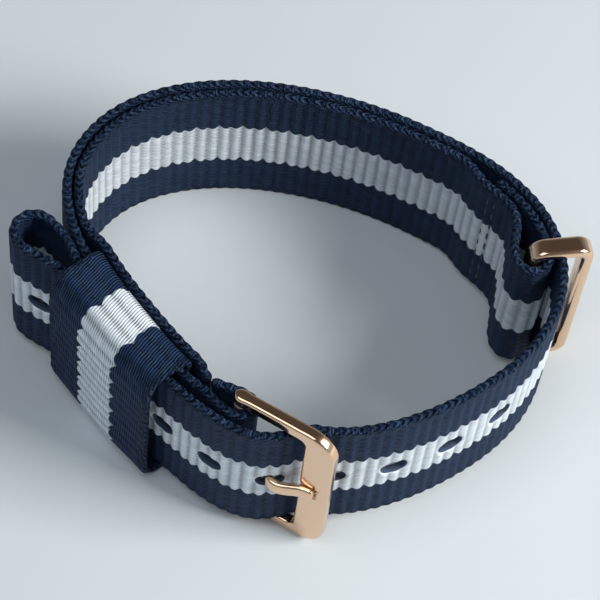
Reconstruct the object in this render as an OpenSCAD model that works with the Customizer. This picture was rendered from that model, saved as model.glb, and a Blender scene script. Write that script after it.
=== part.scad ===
// Nylon watch strap, buckled into a loop and standing on its lower edge.
// The webbing's width runs up Z, and the wrist goes through the loop along Z.
// A place along the loop is its distance from the front middle, going round by the left.
// An offset is a distance from the long strap's middle, and is positive towards the wrist.

/* [Webbing] */
// Width of the webbing
web_w = 20; // [18:0.5:22]
// Thickness of the webbing
web_t = 1.15; // [1:0.05:1.3]
// Free space between two layers that lie on each other
layer_gap = 0.12; // [0.1:0.01:0.2]
// Size of the webbing's rounded edge
edge_round = 0.35; // [0.2:0.05:0.45]

/* [Loop] */
// Width of the loop along X
loop_w = 55.6; // [52:0.2:60]
// Depth of the loop along Y
loop_d = 43.9; // [41:0.1:47]

/* [Holes] */
// Distance from one hole to the next
hole_pitch = 6.8; // [6:0.1:8]
// Length of a hole along the strap
hole_l = 3; // [2.9:0.1:3.4]
// Height of a hole across the strap
hole_h = 2.3; // [2.2:0.1:2.6]
// Holes between the tongue and the loop's right side
holes_before = 4; // [2:1:5]
// Holes between the tongue and the strap's tip
holes_after = 6; // [4:1:6]

/* [Buckle] */
// Distance from the hinge bar to the middle of the front bar
frame_l = 9.8; // [9.4:0.1:10.6]
// Width of the front bar
front_bar_w = 3.6; // [3:0.1:3.8]
// Height of the frame's arms across the strap
arm_h = 1.7; // [1.5:0.1:2]
// Thickness of the frame
frame_t = 1.4; // [1.3:0.05:1.5]
// Radius of the frame's outer corners, at the middle of the arm
frame_corner = 2.4; // [2:0.1:3]
// Turn of the frame towards the wrist, from the strap's own direction
frame_turn = -1; // [-2:0.25:0]
// Free space between the front bar and the webbing under it
front_play = 0.8; // [0.6:0.05:1]
// Width of the tongue
tongue_w = 2; // [1.8:0.1:2.1]
// Thickness of the tongue
tongue_t = 1; // [0.9:0.05:1.05]
// How far the tongue's tip reaches past the middle of the front bar
tongue_past = 0.3; // [0:0.1:0.8]
// Depth of the rest for the tongue's tip
notch_depth = 0.35; // [0.2:0.05:0.5]
// Place of the hinge bar along the loop
bar_at = 5.2; // [4.8:0.2:5.6]
// Length of the webbing folded back from the hinge bar
fold_l = 4.4; // [4:0.2:4.8]

/* [Hinge bar] */
// Outer radius of the hinge bar's tube
tube_r = 0.8; // [0.75:0.01:0.85]
// Wall of the tube
tube_wall = 0.27; // [0.22:0.01:0.3]
// Radius of the tips' pivots
pivot_r = 0.38; // [0.34:0.01:0.4]
// How far each pivot reaches into its arm
pivot_reach = 0.8; // [0.6:0.05:0.9]
// Thickness of the spring's wire
spring_wire = 0.18; // [0.14:0.01:0.2]
// Turns of the spring
spring_turns = 16; // [10:1:20]

/* [Fabric keeper] */
// Width of the keeper, along the strap
keeper_w = 17; // [16:0.2:17.6]
// Thickness of the keeper's webbing
keeper_t = 0.95; // [0.8:0.05:1.1]
// Place of the keeper's middle along the loop
keeper_at = 21.3; // [21:0.1:22]
// Free space in the keeper round the strap's layers
keeper_play = 0.12; // [0.1:0.01:0.2]
// Further free space under the keeper's outer wall
keeper_slack = 0.9; // [0.6:0.05:1.1]
// Radius of the keeper's corners next to the wrist, inside
keeper_fold_r = 0.4; // [0.3:0.05:0.6]
// Height of the bend from the keeper's top into its outer wall, inside
keeper_drop = 4; // [2:0.5:5]

/* [Tail] */
// How far the tail's fold stands out past the keeper
tail_out = 9.2; // [8:0.2:10]
// Width of the tail's fold between the middles of its legs
tail_fold_w = 4.5; // [4:0.1:4.8]
// Length of the tail's end that is tucked back into the keeper
tuck_l = 9; // [7:0.5:10]

/* [Metal ring] */
// Place of the ring along the loop
ring_at = 111.4; // [110:0.2:112.4]
// Thickness of the ring's metal
ring_t = 1.3; // [1.2:0.1:1.6]
// Depth of the ring's metal along the strap
ring_depth = 2.4; // [2:0.1:2.6]
// Distance between the middles of the ring's two bars
ring_reach = 6; // [5.6:0.1:6.6]
// Inner radius of the ring's corners
ring_corner = 0.6; // [0.4:0.05:0.9]
// Rounding of the ring's edges
ring_soft = 0.55; // [0.4:0.05:0.6]
// Length of the webbing folded back from the ring
ring_fold_l = 12.4; // [11:0.2:14]

/* [Stitching] */
// Radius of the sewing thread
thread_r = 0.15; // [0.12:0.01:0.2]
// Length of one stitch
stitch_l = 1.5; // [1.2:0.1:1.7]
// Distance from one stitch to the next
stitch_pitch = 2.2; // [2.1:0.1:2.6]
// Distance from the webbing's cut end to the first row of stitches
seam_inset = 0.8; // [0.6:0.1:1]
// Distance from the first row of stitches to the second
seam_gap = 1.1; // [0.9:0.1:1.3]
// Distance between the two rows of stitches that hold the keeper
keeper_seams = 6; // [4:0.5:10]

/* [Hidden] */
navy = [0.1, 0.13, 0.24];
white = [0.9, 0.91, 0.93];
rose_gold = [0.85, 0.62, 0.5];
steel = [0.7, 0.7, 0.72];
$fn = 48;

// Points on the middle of the long strap, about a centimetre apart
loop_knots = [
    [0.2, -28], [-9.3, -24.2], [-17, -17.3], [-23.8, -9.6], [-27.4, 0],
    [-23.9, 9.3], [-15.1, 14.5], [-4.9, 15.9], [5.4, 14.7], [15.1, 11.3],
    [23.5, 5.5], [28.2, -3.5], [25.9, -13.4], [19, -21], [10.3, -26.4],
];
knot_n = len(loop_knots);
knot_xs = [for (p = loop_knots) p.x];
knot_ys = [for (p = loop_knots) p.y];
stretch = [loop_w / (max(knot_xs) - min(knot_xs)), loop_d / (max(knot_ys) - min(knot_ys))];

function mix(a, b, k) = a + (b - a) * k;
function ease(k) = let (q = min(1, max(0, k))) q * q * (3 - 2 * q);
function knot(i) = let (p = loop_knots[(i + knot_n) % knot_n]) [p.x * stretch.x, p.y * stretch.y];
function control(i) = knot(i) - (knot(i - 1) - 2 * knot(i) + knot(i + 1)) / 6;
controls = [for (i = [0 : knot_n - 1]) control(i)];
function spline(c, i, u) = (pow(1 - u, 3) * c[(i + len(c) - 1) % len(c)]
    + (3 * pow(u, 3) - 6 * u * u + 4) * c[i % len(c)]
    + (1 + 3 * u + 3 * u * u - 3 * pow(u, 3)) * c[(i + 1) % len(c)]
    + pow(u, 3) * c[(i + 2) % len(c)]) / 6;
function lengths(path) = [for (i = 0, sum = 0; i < len(path);
    sum = sum + (i + 1 < len(path) ? norm([path[i + 1].x - path[i].x, path[i + 1].y - path[i].y]) : 0),
    i = i + 1) sum];

loop_path = [for (i = [0 : knot_n - 1], k = [0 : 15]) spline(controls, i, k / 16),
    spline(controls, 0, 0)];
loop_run = lengths(loop_path);
loop_len = loop_run[len(loop_run) - 1];
loop_xs = [for (i = [0 : len(loop_path) - 1]) [loop_run[i], loop_path[i].x]];
loop_ys = [for (i = [0 : len(loop_path) - 1]) [loop_run[i], loop_path[i].y]];

function loop_at(s) = let (q = s - floor(s / loop_len) * loop_len) [lookup(q, loop_xs), lookup(q, loop_ys)];
function tangent(s) = let (d = loop_at(s + 0.5) - loop_at(s - 0.5)) d / norm(d);
function inward(s) = let (d = tangent(s)) [d.y, -d.x];
function place(s, off) = loop_at(s) + off * inward(s);

// Heights of the webbing's lower edge, which rises to let the keeper, frame and ring pass below
layer = web_t + layer_gap;
edge_play = 0.15;
arm_play = 0.2;
frame_z = 0.1;
lift_buckle = frame_z + arm_h + arm_play;
lift_keeper = keeper_t + keeper_play;
lift_ring = ring_t + edge_play + 0.05;
keeper_from = keeper_at - keeper_w / 2;
keeper_to = keeper_at + keeper_w / 2;
lift_steps = [
    [0, lift_buckle], [bar_at + 1, lift_buckle], [keeper_from, lift_keeper],
    [keeper_to, lift_keeper], [loop_len * 0.32, 0], [loop_len * 0.58, 0],
    [ring_at - 5, lift_ring], [ring_at + 4, lift_ring], [loop_len - 10, lift_buckle],
    [loop_len + bar_at, lift_buckle], [loop_len + keeper_from, lift_keeper],
];
function lift(s) = (lookup(s - 2, lift_steps) + lookup(s - 1, lift_steps) + lookup(s, lift_steps)
    + lookup(s + 1, lift_steps) + lookup(s + 2, lift_steps)) / 5;
mid_z = lift_buckle + web_w / 2;

// The hinge bar and the fold round it
bar_off = layer / 2;
bar_fold_r = tube_r + 0.05 + web_t / 2;
bar_c = place(bar_at, bar_off);
frame_angle = atan2(-tangent(bar_at).y, -tangent(bar_at).x) + frame_turn;
frame_x = [cos(frame_angle), sin(frame_angle)];
frame_y = [-sin(frame_angle), cos(frame_angle)];

// The fabric keeper, in its own straight directions: a along the strap, b towards the wrist
keeper_c = loop_at(keeper_at);
keeper_dir = tangent(keeper_at);
keeper_in = inward(keeper_at);
function keeper_point(a, b) = keeper_c + a * keeper_dir + b * keeper_in;
strap_rise = [for (s = [keeper_at - 18 : 0.5 : keeper_at + 18])
    let (d = loop_at(s) - keeper_c) [d * keeper_dir, d * keeper_in]];
function rise(a) = lookup(a, strap_rise);
keeper_front = -(2 * layer + web_t / 2 + keeper_play + keeper_slack);
keeper_back = web_t / 2 + keeper_play;
keeper_round = keeper_slack + 0.75;

// The tail: outwards over the hinge bar, through the keeper and folded back into it
front_at = loop_len + bar_at - frame_l;
front_off = (bar_c + frame_l * frame_x - loop_at(front_at)) * inward(front_at)
    + frame_t / 2 + web_t / 2 + front_play;
tail_steps = [
    [front_at - 3.3, 0], [front_at + 0.3, front_off], [front_at + 2.1, front_off + 0.35 * layer],
    [front_at + 4, front_off - 0.75 * layer], [loop_len + bar_at - 3.2, bar_off - bar_fold_r - layer + 0.1],
    [loop_len + bar_at, bar_off - bar_fold_r - layer - 0.12],
    [loop_len + bar_at + 3.4, -1.5 * layer], [loop_len + keeper_from - 0.8, -1.3 * layer],
    [loop_len + keeper_from + 3.1, -1.5 * layer], [loop_len + keeper_from + 6.3, -2 * layer],
];
function tail_off(s) = (lookup(s - 1, tail_steps) + lookup(s - 0.5, tail_steps) + lookup(s, tail_steps)
    + lookup(s + 0.5, tail_steps) + lookup(s + 1, tail_steps)) / 5;
tail_a = keeper_w / 2 + tail_out - tail_fold_w / 2 - web_t / 2;
tail_b = -1.8 * layer;
function outer_leg(a) = mix(rise(a) - 2 * layer, tail_b - tail_fold_w / 2, ease((a - 6) / (tail_a - 6)));
function inner_leg(a) = mix(rise(a) - layer, tail_b + tail_fold_w / 2, ease((a - 9) / (tail_a - 9)));

// Stations of the long strap: [x, y, height of the lower edge, place along the loop]
function station(p, s) = [p.x, p.y, lift(s), s];
function lap(s, off) = station(place(s, off), s);
long_path = [
    for (k = [0 : 5]) let (s = bar_at + fold_l * (1 - k / 6))
        lap(s, mix(bar_off + bar_fold_r, layer, ease((s - bar_at) / (fold_l + 1)))),
    for (a = [0 : 15 : 180]) station(bar_c + bar_fold_r * (cos(a) * inward(bar_at) - sin(a) * tangent(bar_at)),
        bar_at),
    for (s = [bar_at + 0.7 : 0.8 : loop_len + keeper_at + 4])
        lap(s, s < loop_len - 9 ? mix(bar_off - bar_fold_r, 0, ease((s - bar_at) / (fold_l + 1))) : tail_off(s)),
    for (a = [4.6 : 0.8 : tail_a - 0.3]) station(keeper_point(a, outer_leg(a)), loop_len + keeper_at + a),
    for (f = [-90 : 12 : 90]) station(keeper_point(tail_a, tail_b)
        + tail_fold_w / 2 * (cos(f) * keeper_dir + sin(f) * keeper_in), loop_len + keeper_at + tail_a),
    for (a = [tail_a - 0.7 : -0.8 : keeper_w / 2 - tuck_l]) station(keeper_point(a, inner_leg(a)),
        loop_len + keeper_at + 20),
];
long_run = lengths(long_path);
long_last = len(long_path) - 1;

// Stations of the short strap, which ends in the fold that holds the ring
ring_fold_r = ring_depth / 2 + web_t / 2 + 0.15;
ring_off = layer + ring_fold_r;
ring_c = place(ring_at, ring_off);
seam_at = ring_at - ring_fold_l;
short_start = bar_at + fold_l + 0.3;
behind_keeper = web_t + keeper_t + 2 * keeper_play;
function short_off(s) = layer * (1 + ease((s - seam_at + 5) / 5))
    + (behind_keeper - layer) * (ease((s - short_start) / (keeper_from - 0.1 - short_start))
        - ease((s - keeper_to - 0.3) / 4.5))
    + (ring_off + ring_fold_r - 2 * layer) * ease((s - ring_at + 8.4) / 7.6);
short_path = [
    for (s = [short_start : 0.8 : ring_at - 0.3]) lap(s, short_off(s)),
    for (a = [0 : 15 : 180]) station(ring_c + ring_fold_r * (cos(a) * inward(ring_at) + sin(a) * tangent(ring_at)),
        ring_at),
    for (s = [ring_at - 0.7 : -0.8 : seam_at]) lap(s, layer),
];

// Frame outline heights and the ring's own
frame_h = web_w + 2 * arm_play + 2 * arm_h;
ring_h = web_w + 2 * edge_play + 2 * ring_t;
ring_z = lift_ring - edge_play - ring_t;

// The tongue's middle line: along the frame, then out from it
eye_r = tube_r + 0.05;
tongue_rest = -frame_t / 2 + notch_depth - 0.05 - tongue_t / 2;
tongue_knots = [
    [0.4, -0.5], [1.8, -0.3], [frame_l - 6.8, -0.1], [frame_l - 5.5, -0.6], [frame_l - 5, -1.7],
    [frame_l - 4.1, -2.15], [frame_l - 2.9, -1.8], [frame_l - 1.6, tongue_rest - 0.2],
    [frame_l - 0.6, tongue_rest], [frame_l + tongue_past - tongue_t / 2, tongue_rest],
];
tongue_n = len(tongue_knots);
tongue_ctrl = [tongue_knots[0], each tongue_knots, tongue_knots[tongue_n - 1]];
tongue_path = [for (i = [1 : tongue_n - 1], k = [0 : 3]) spline(tongue_ctrl, i, k / 4),
    spline(tongue_ctrl, tongue_n - 1, 1)];

// Where the tongue goes through the tail, as a length along the long strap
long_xs = [for (i = [0 : long_last]) [long_run[i], long_path[i].x]];
long_ys = [for (i = [0 : long_last]) [long_run[i], long_path[i].y]];
long_zs = [for (i = [0 : long_last]) [long_run[i], long_path[i].z]];
long_ss = [for (i = [0 : long_last]) if (i == 0 || long_path[i][3] > long_path[i - 1][3])
    [long_path[i][3], long_run[i]]];
cross_runs = [lookup(loop_len - 5, long_ss) : 0.1 : lookup(loop_len + 4, long_ss)];
cross_gaps = [for (r = cross_runs) let (d = [lookup(r, long_xs), lookup(r, long_ys)] - bar_c)
    abs(lookup(d * frame_x, tongue_path) - d * frame_y)];
first_hole = cross_runs[0] + 0.1 * search(min(cross_gaps), cross_gaps)[0];

// Middle of the whole part seen from above, which is put at the origin
out_x = [for (p = long_path) p.x];
out_y = [for (p = long_path) p.y];
ring_end = ring_c - inward(ring_at) * (ring_reach + ring_t / 2);
frame_end = bar_c + (frame_l + front_bar_w / 2) * frame_x;
centre = [
    (min(out_x) - web_t / 2 + max([ring_end.x, max(out_x) + web_t / 2])) / 2,
    (frame_end.y - frame_t / 2 + max(out_y) + web_t / 2) / 2,
];

function steps_normal(path, i) = let (
    p = path[max(0, i - 1)], q = path[min(len(path) - 1, i + 1)],
    d = [q.x - p.x, q.y - p.y]) [d.y, -d.x] / norm(d);

// A band of webbing swept along a path
module ribbon(path) {
    e = edge_round;
    h = web_t / 2;
    ring = [[-h, e], [-h, web_w - e], [e - h, web_w], [h - e, web_w],
        [h, web_w - e], [h, e], [h - e, 0], [e - h, 0]];
    n = len(path);
    points = [for (i = [0 : n - 1], r = ring) let (d = steps_normal(path, i))
        [path[i].x + d.x * r.x, path[i].y + d.y * r.x, path[i].z + r.y]];
    faces = [
        for (i = [0 : n - 2], k = [0 : 7]) let (m = (k + 1) % 8)
            [i * 8 + k, (i + 1) * 8 + k, (i + 1) * 8 + m, i * 8 + m],
        [for (k = [0 : 7]) k],
        [for (k = [7 : -1 : 0]) (n - 1) * 8 + k],
    ];
    polyhedron(points, faces, convexity = 20);
}

// One hole through the long strap, at a length along it
module strap_hole(run) {
    c = [lookup(run, long_xs), lookup(run, long_ys), lookup(run, long_zs) + web_w / 2];
    d = [lookup(run + 0.6, long_xs) - lookup(run - 0.6, long_xs),
        lookup(run + 0.6, long_ys) - lookup(run - 0.6, long_ys)];
    translate(c) rotate([0, 0, atan2(d.y, d.x)]) rotate([90, 0, 0]) {
        for (side = [-1, 1]) translate([side * (hole_l - hole_h) / 2, 0, -web_t])
            cylinder(h = 2 * web_t, r = hole_h / 2, $fn = 20);
        cube([hole_l - hole_h, hole_h, 2 * web_t], center = true);
    }
}

module long_strap() {
    color(navy) difference() {
        ribbon(long_path);
        for (k = [-holes_before : holes_after]) strap_hole(first_hole + k * hole_pitch);
        translate([bar_c.x, bar_c.y, mid_z - tongue_w / 2 - 0.25])
            cylinder(h = tongue_w + 0.5, r = eye_r + tongue_t + 0.2, $fn = 40);
    }
}

module short_strap() {
    color(navy) ribbon(short_path);
}

// A rounded rectangle as points, seven to a corner: r1 at x1, r0 at x0, and a drop for the top bend at x0
function corner_points(x0, x1, y0, y1, r0, r1, drop) = [
    for (c = [[x1 - r1, y1 - r1, 0, r1, r1], [x0 + r0, y1 - drop, 90, r0, drop],
            [x0 + r0, y0 + r0, 180, r0, r0], [x1 - r1, y0 + r1, 270, r1, r1]],
        a = [0 : 15 : 90]) [c.x + c[3] * cos(c.z + a), c.y + c[4] * sin(c.z + a)]];

module fabric_keeper() {
    z1 = 2 * (keeper_t + keeper_play) + web_w;
    as = [for (k = [0 : 22]) keeper_w * (k / 22 - 0.5)];
    loops = [for (a = as) let (back = rise(a) + keeper_back, front = keeper_front
        + 0.75 * keeper_slack * ease(-a / keeper_w * 2)) [
        corner_points(front - keeper_t, back + keeper_t, 0, z1,
            keeper_round + keeper_t, keeper_fold_r + keeper_t, keeper_drop + keeper_t),
        corner_points(front, back, keeper_t, z1 - keeper_t, keeper_round, keeper_fold_r, keeper_drop),
    ]];
    points = [for (side = [0, 1], i = [0 : 22], p = loops[i][side])
        let (q = keeper_point(as[i], p.x)) [q.x, q.y, p.y]];
    n = 28;
    half = 23 * n;
    faces = [
        for (i = [0 : 21], k = [0 : n - 1]) let (m = (k + 1) % n)
            [i * n + m, (i + 1) * n + m, (i + 1) * n + k, i * n + k],
        for (i = [0 : 21], k = [0 : n - 1]) let (m = (k + 1) % n)
            [half + i * n + k, half + (i + 1) * n + k, half + (i + 1) * n + m, half + i * n + m],
        for (k = [0 : n - 1]) let (m = (k + 1) % n) [half + k, half + m, m, k],
        for (k = [0 : n - 1]) let (m = (k + 1) % n, e = 22 * n) [half + e + m, half + e + k, e + k, e + m],
    ];
    color(navy) polyhedron(points, faces, convexity = 10);
}

// A rectangle with rounded corners, centred
module soft_rect(w, h, r) {
    square([w - 2 * r, h], center = true);
    square([w, h - 2 * r], center = true);
    for (x = [-1, 1], y = [-1, 1]) translate([x * (w / 2 - r), y * (h / 2 - r)]) circle(r, $fn = 32);
}

// Bring a shape from the frame's own place to the hinge bar
module at_bar() {
    translate([bar_c.x, bar_c.y, 0]) rotate([0, 0, frame_angle]) children();
}

module buckle_frame() {
    soft = 0.45;
    x1 = frame_l + front_bar_w / 2;
    turn_x = x1 - arm_h / 2 - frame_corner;
    color(rose_gold) at_bar() difference() {
        union() {
            for (side = [0, 1]) translate([0, 0, frame_z + side * frame_h]) mirror([0, 0, side]) {
                // arm, corner and the knuckle round the pivot
                translate([0, 0, arm_h / 2]) rotate([90, 0, 90])
                    linear_extrude(turn_x) soft_rect(frame_t, arm_h, soft);
                cylinder(h = arm_h, r = frame_t / 2 + 0.1);
                translate([turn_x, 0, arm_h / 2 + frame_corner]) rotate([90, 0, 0]) rotate([0, 0, -90])
                    rotate_extrude(angle = 90) translate([frame_corner, 0]) soft_rect(arm_h, frame_t, soft);
                // the corner's inner fill
                translate([turn_x, frame_t / 2, 0]) rotate([90, 0, 0]) linear_extrude(frame_t) polygon([
                    [0, arm_h - soft], [frame_corner * 0.6, arm_h - soft],
                    [frame_corner * 0.95, arm_h + frame_corner * 0.35],
                    [frame_corner, arm_h + frame_corner], [x1 - front_bar_w + soft - turn_x, arm_h + frame_corner],
                    [x1 - front_bar_w + soft - turn_x, arm_h - soft]]);
            }
            translate([frame_l, 0, frame_z + arm_h / 2 + frame_corner])
                linear_extrude(frame_h - arm_h - 2 * frame_corner) soft_rect(front_bar_w, frame_t, soft);
        }
        // blind bores for the pivots
        for (side = [0, 1]) translate([0, 0, frame_z + side * frame_h]) mirror([0, 0, side])
            translate([0, 0, arm_h - pivot_reach - 0.15]) cylinder(h = 2, r = pivot_r + 0.04);
        // rest for the tongue's tip
        translate([frame_l - front_bar_w, -frame_t / 2 - 1 + notch_depth, mid_z - tongue_w / 2 - 0.15])
            cube([front_bar_w + tongue_past + 0.15, 1, tongue_w + 0.3]);
    }
}

module buckle_tongue() {
    n = len(tongue_path);
    side = [for (i = [0 : n - 1]) steps_normal(tongue_path, i)];
    color(rose_gold) at_bar() translate([0, 0, mid_z - tongue_w / 2]) linear_extrude(tongue_w) difference() {
        union() {
            circle(eye_r + tongue_t);
            polygon([
                for (i = [0 : n - 1]) tongue_path[i] + side[i] * tongue_t / 2,
                for (i = [n - 1 : -1 : 0]) tongue_path[i] - side[i] * tongue_t / 2,
            ]);
            translate(tongue_path[n - 1]) circle(tongue_t / 2);
        }
        circle(eye_r);
    }
}

// The hinge bar's own heights
window_z = frame_z + arm_h;
tube_z = window_z + 0.1;
tube_l = web_w + 2 * arm_play - 0.2;
lip = 0.3;
piston_l = 2.2;
bore_r = tube_r - tube_wall;

module at_bar_z(z) {
    translate([bar_c.x, bar_c.y, z]) children();
}

module hinge_bar_tube() {
    color(steel) at_bar_z(tube_z) difference() {
        cylinder(h = tube_l, r = tube_r);
        translate([0, 0, lip]) cylinder(h = tube_l - 2 * lip, r = bore_r);
        translate([0, 0, -1]) cylinder(h = tube_l + 2, r = pivot_r + 0.04);
    }
}

// A tip, standing on its pivot's end
module tip() {
    pivot_l = pivot_reach + 0.1 + lip + 0.02;
    cylinder(h = 0.15, r1 = pivot_r - 0.1, r2 = pivot_r);
    translate([0, 0, 0.15]) cylinder(h = pivot_l - 0.15, r = pivot_r);
    translate([0, 0, pivot_l]) cylinder(h = piston_l, r = bore_r - 0.03);
}

module hinge_bar_tip_upper() {
    color(steel) at_bar_z(window_z + web_w + 2 * arm_play + pivot_reach) mirror([0, 0, 1]) tip();
}

module hinge_bar_tip_lower() {
    color(steel) at_bar_z(window_z - pivot_reach) tip();
}

module hinge_bar_spring() {
    z0 = tube_z + lip + 0.02 + piston_l + spring_wire / 2 + 0.02;
    z1 = tube_z + tube_l - lip - 0.02 - piston_l - spring_wire / 2 - 0.02;
    r = bore_r - spring_wire / 2 - 0.04;
    n = spring_turns * 12;
    points = [for (i = [0 : n], k = [0 : 5]) let (a = i * 30, w = spring_wire / 2, q = r + w * cos(k * 60))
        [q * cos(a), q * sin(a), mix(z0, z1, i / n) + w * sin(k * 60)]];
    faces = [
        for (i = [0 : n - 1], k = [0 : 5]) let (m = (k + 1) % 6)
            [i * 6 + k, (i + 1) * 6 + k, (i + 1) * 6 + m, i * 6 + m],
        [for (k = [0 : 5]) k],
        [for (k = [5 : -1 : 0]) n * 6 + k],
    ];
    color(steel) at_bar_z(0) polyhedron(points, faces, convexity = 20);
}

module metal_ring() {
    mid = ring_t / 2;
    bend = ring_t / 2 + ring_corner;
    span = ring_h - ring_t;
    color(rose_gold) translate([ring_c.x, ring_c.y, ring_z + mid])
        rotate([0, 0, atan2(-inward(ring_at).y, -inward(ring_at).x)]) {
            for (x = [0, ring_reach]) translate([x, 0, bend])
                linear_extrude(span - 2 * bend) soft_rect(ring_t, ring_depth, ring_soft);
            for (z = [0, span]) translate([bend, 0, z]) rotate([90, 0, 90])
                linear_extrude(ring_reach - 2 * bend) soft_rect(ring_depth, ring_t, ring_soft);
            for (c = [[bend, bend, 180], [ring_reach - bend, bend, 270],
                [ring_reach - bend, span - bend, 0], [bend, span - bend, 90]])
                translate([c.x, 0, c.y]) rotate([90, 0, 0]) rotate([0, 0, c.z])
                    rotate_extrude(angle = 90) translate([bend, 0]) soft_rect(ring_t, ring_depth, ring_soft);
        }
}

// One stitch, standing up Z on its middle
module stitch() {
    cylinder(h = stitch_l - 2 * thread_r, r = thread_r, center = true, $fn = 16);
    for (side = [-1, 1]) translate([0, 0, side * (stitch_l / 2 - thread_r)]) sphere(thread_r, $fn = 16);
}

// A column of stitches on the wrist side of a layer, which may slope towards the wrist
module stitch_column(s, off, slope = 0) {
    p = place(s, off + (web_t / 2 + thread_r + 0.03) * norm([1, slope]));
    count = floor((web_w - 3) / stitch_pitch);
    for (k = [0 : count]) translate([p.x, p.y, lift(s) + web_w / 2 + (k - count / 2) * stitch_pitch]) stitch();
}

module fold_stitches() {
    color(navy) for (k = [0, 1]) let (s = bar_at + fold_l - seam_inset - k * seam_gap)
        stitch_column(s, mix(bar_off + bar_fold_r, layer, ease((s - bar_at) / (fold_l + 1))) + 0.03);
}

module junction_stitches() {
    s = short_start + seam_inset;
    color(navy) stitch_column(s, short_off(s) + 0.02, 5 * (short_off(s + 0.1) - short_off(s - 0.1)));
}

module ring_fold_stitches() {
    color(navy) for (k = [0, 1]) stitch_column(seam_at + seam_inset + k * seam_gap, 2 * layer);
}

module keeper_stitches() {
    count = floor((keeper_w - 3) / stitch_pitch);
    z = keeper_t + keeper_play + web_w / 2;
    color(navy) for (k = [0 : count], row = [-1, 1]) {
        a = (k - count / 2) * stitch_pitch;
        q = keeper_point(a, rise(a) + behind_keeper + web_t / 2 + thread_r + 0.08);
        translate([q.x, q.y, z + row * keeper_seams / 2]) rotate([0, 0, atan2(keeper_dir.y, keeper_dir.x)])
            rotate([0, 90, 0]) stitch();
    }
}

translate([-centre.x, -centre.y, 0]) {
    long_strap();
    short_strap();
    fabric_keeper();
    buckle_frame();
    buckle_tongue();
    hinge_bar_tube();
    hinge_bar_spring();
    hinge_bar_tip_upper();
    hinge_bar_tip_lower();
    metal_ring();
    fold_stitches();
    junction_stitches();
    ring_fold_stitches();
    keeper_stitches();
}
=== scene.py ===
import math
import bmesh
import bpy
import numpy as np
from mathutils import Matrix, Vector


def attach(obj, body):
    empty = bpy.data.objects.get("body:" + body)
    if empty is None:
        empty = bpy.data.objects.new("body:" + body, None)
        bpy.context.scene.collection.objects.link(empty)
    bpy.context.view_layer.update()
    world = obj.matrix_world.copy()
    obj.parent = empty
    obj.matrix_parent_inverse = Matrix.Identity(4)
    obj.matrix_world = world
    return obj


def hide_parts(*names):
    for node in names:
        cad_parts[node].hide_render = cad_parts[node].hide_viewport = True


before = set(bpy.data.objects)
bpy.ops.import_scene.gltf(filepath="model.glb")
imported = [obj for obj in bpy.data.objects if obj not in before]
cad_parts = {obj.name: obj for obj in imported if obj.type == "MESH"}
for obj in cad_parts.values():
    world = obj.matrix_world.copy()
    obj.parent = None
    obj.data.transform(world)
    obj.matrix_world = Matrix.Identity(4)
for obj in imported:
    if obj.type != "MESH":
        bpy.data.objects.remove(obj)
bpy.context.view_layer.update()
print("frame loaded:", len(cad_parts), "solids")

# All lengths are in metres. Seen from above, the loop runs clockwise from its front middle:
# "along" is the distance on the loop's middle line, "offset" is positive towards the wrist.

webbing = {
    "width": 0.020,
    "thickness": 0.00115,
    "layer": 0.00127,        # from one layer's middle to the next one's
    "ribPitch": 0.00135,
    "ribDepth": 0.36,        # share of the thickness lost between two ribs
    "knobDepth": 0.00005,    # how far the selvedge draws in between two ribs
    "edgeRound": 0.00050,
    "scallop": 0.36,         # sway of the white stripe in millimetres, positive towards the lower edge
    "ribSteps": 6,
    "acrossSteps": 48,
    "shortAcrossSteps": 32,
}

loop = {
    "width": 0.0556,
    "depth": 0.0439,
    "knots": [
        (0.0002, -0.0280), (-0.0093, -0.0242), (-0.0170, -0.0173), (-0.0238, -0.0096),
        (-0.0274, 0.0000), (-0.0239, 0.0093), (-0.0151, 0.0145), (-0.0049, 0.0159),
        (0.0054, 0.0147), (0.0151, 0.0113), (0.0235, 0.0055), (0.0282, -0.0035),
        (0.0259, -0.0134), (0.0190, -0.0210), (0.0103, -0.0264),
    ],
}

hingeBar = {"at": 0.0052, "tubeRadius": 0.0008, "foldLength": 0.0044}

buckle = {
    "length": 0.0098,        # from the hinge bar to the middle of the front bar
    "frontWidth": 0.0036,
    "frontPlay": 0.0008,     # between the front bar and the webbing under it
    "armHeight": 0.0017,
    "thickness": 0.0014,
    "cornerRadius": 0.0024,
    "windowCorner": 0.0009,
    "edgeRound": 0.00036,
    "armRound": 0.00036,
    "turn": -1.0,            # in degrees, off the loop's own direction
    "bottom": 0.0001,
    "play": 0.0002,          # between an arm and the webbing's edge
    "notchDepth": 0.00035,
}

tongue = {"width": 0.0020, "thickness": 0.0010, "pastFront": 0.0003, "room": 0.00015}

keeper = {
    "at": 0.0213,
    "width": 0.017,
    "thickness": 0.00095,
    "play": 0.00012,
    "slack": 0.0009,
    "frontRound": 0.00165,   # inside radius of the two corners away from the wrist
    "backRound": 0.0004,     # and of the two next to the wrist
    "drop": 0.004,           # height of the bend from the top into the outer wall, inside
    "ribPitch": 0.0017,
    "scallop": -0.50,
}

tail = {
    "out": 0.0092,           # how far its fold stands out past the keeper
    "foldWidth": 0.0045,
    "tuck": 0.009,           # length of its end inside the keeper
    "outerEase": 0.006,      # where the outer leg starts on its way to the fold
    "innerEase": 0.009,
}

ring = {
    "at": 0.1114,
    "barSize": 0.0013,
    "depth": 0.0024,
    "reach": 0.0060,
    "corner": 0.0006,        # inside radius of the corners
    "edgeRound": 0.00055,
    "foldLength": 0.0124,
    "play": 0.00015,         # between a bar and the webbing
}

holes = {"pitch": 0.0068, "length": 0.0030, "height": 0.0023, "before": 4, "after": 6}

hairGap = 0.00005            # the least gap between two pieces
routeStep = 0.0004           # between two points of a route

def ease(k):
    q = min(1.0, max(0.0, k))
    return q * q * (3 - 2 * q)

def mix(a, b, k):
    return a + (b - a) * k

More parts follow.
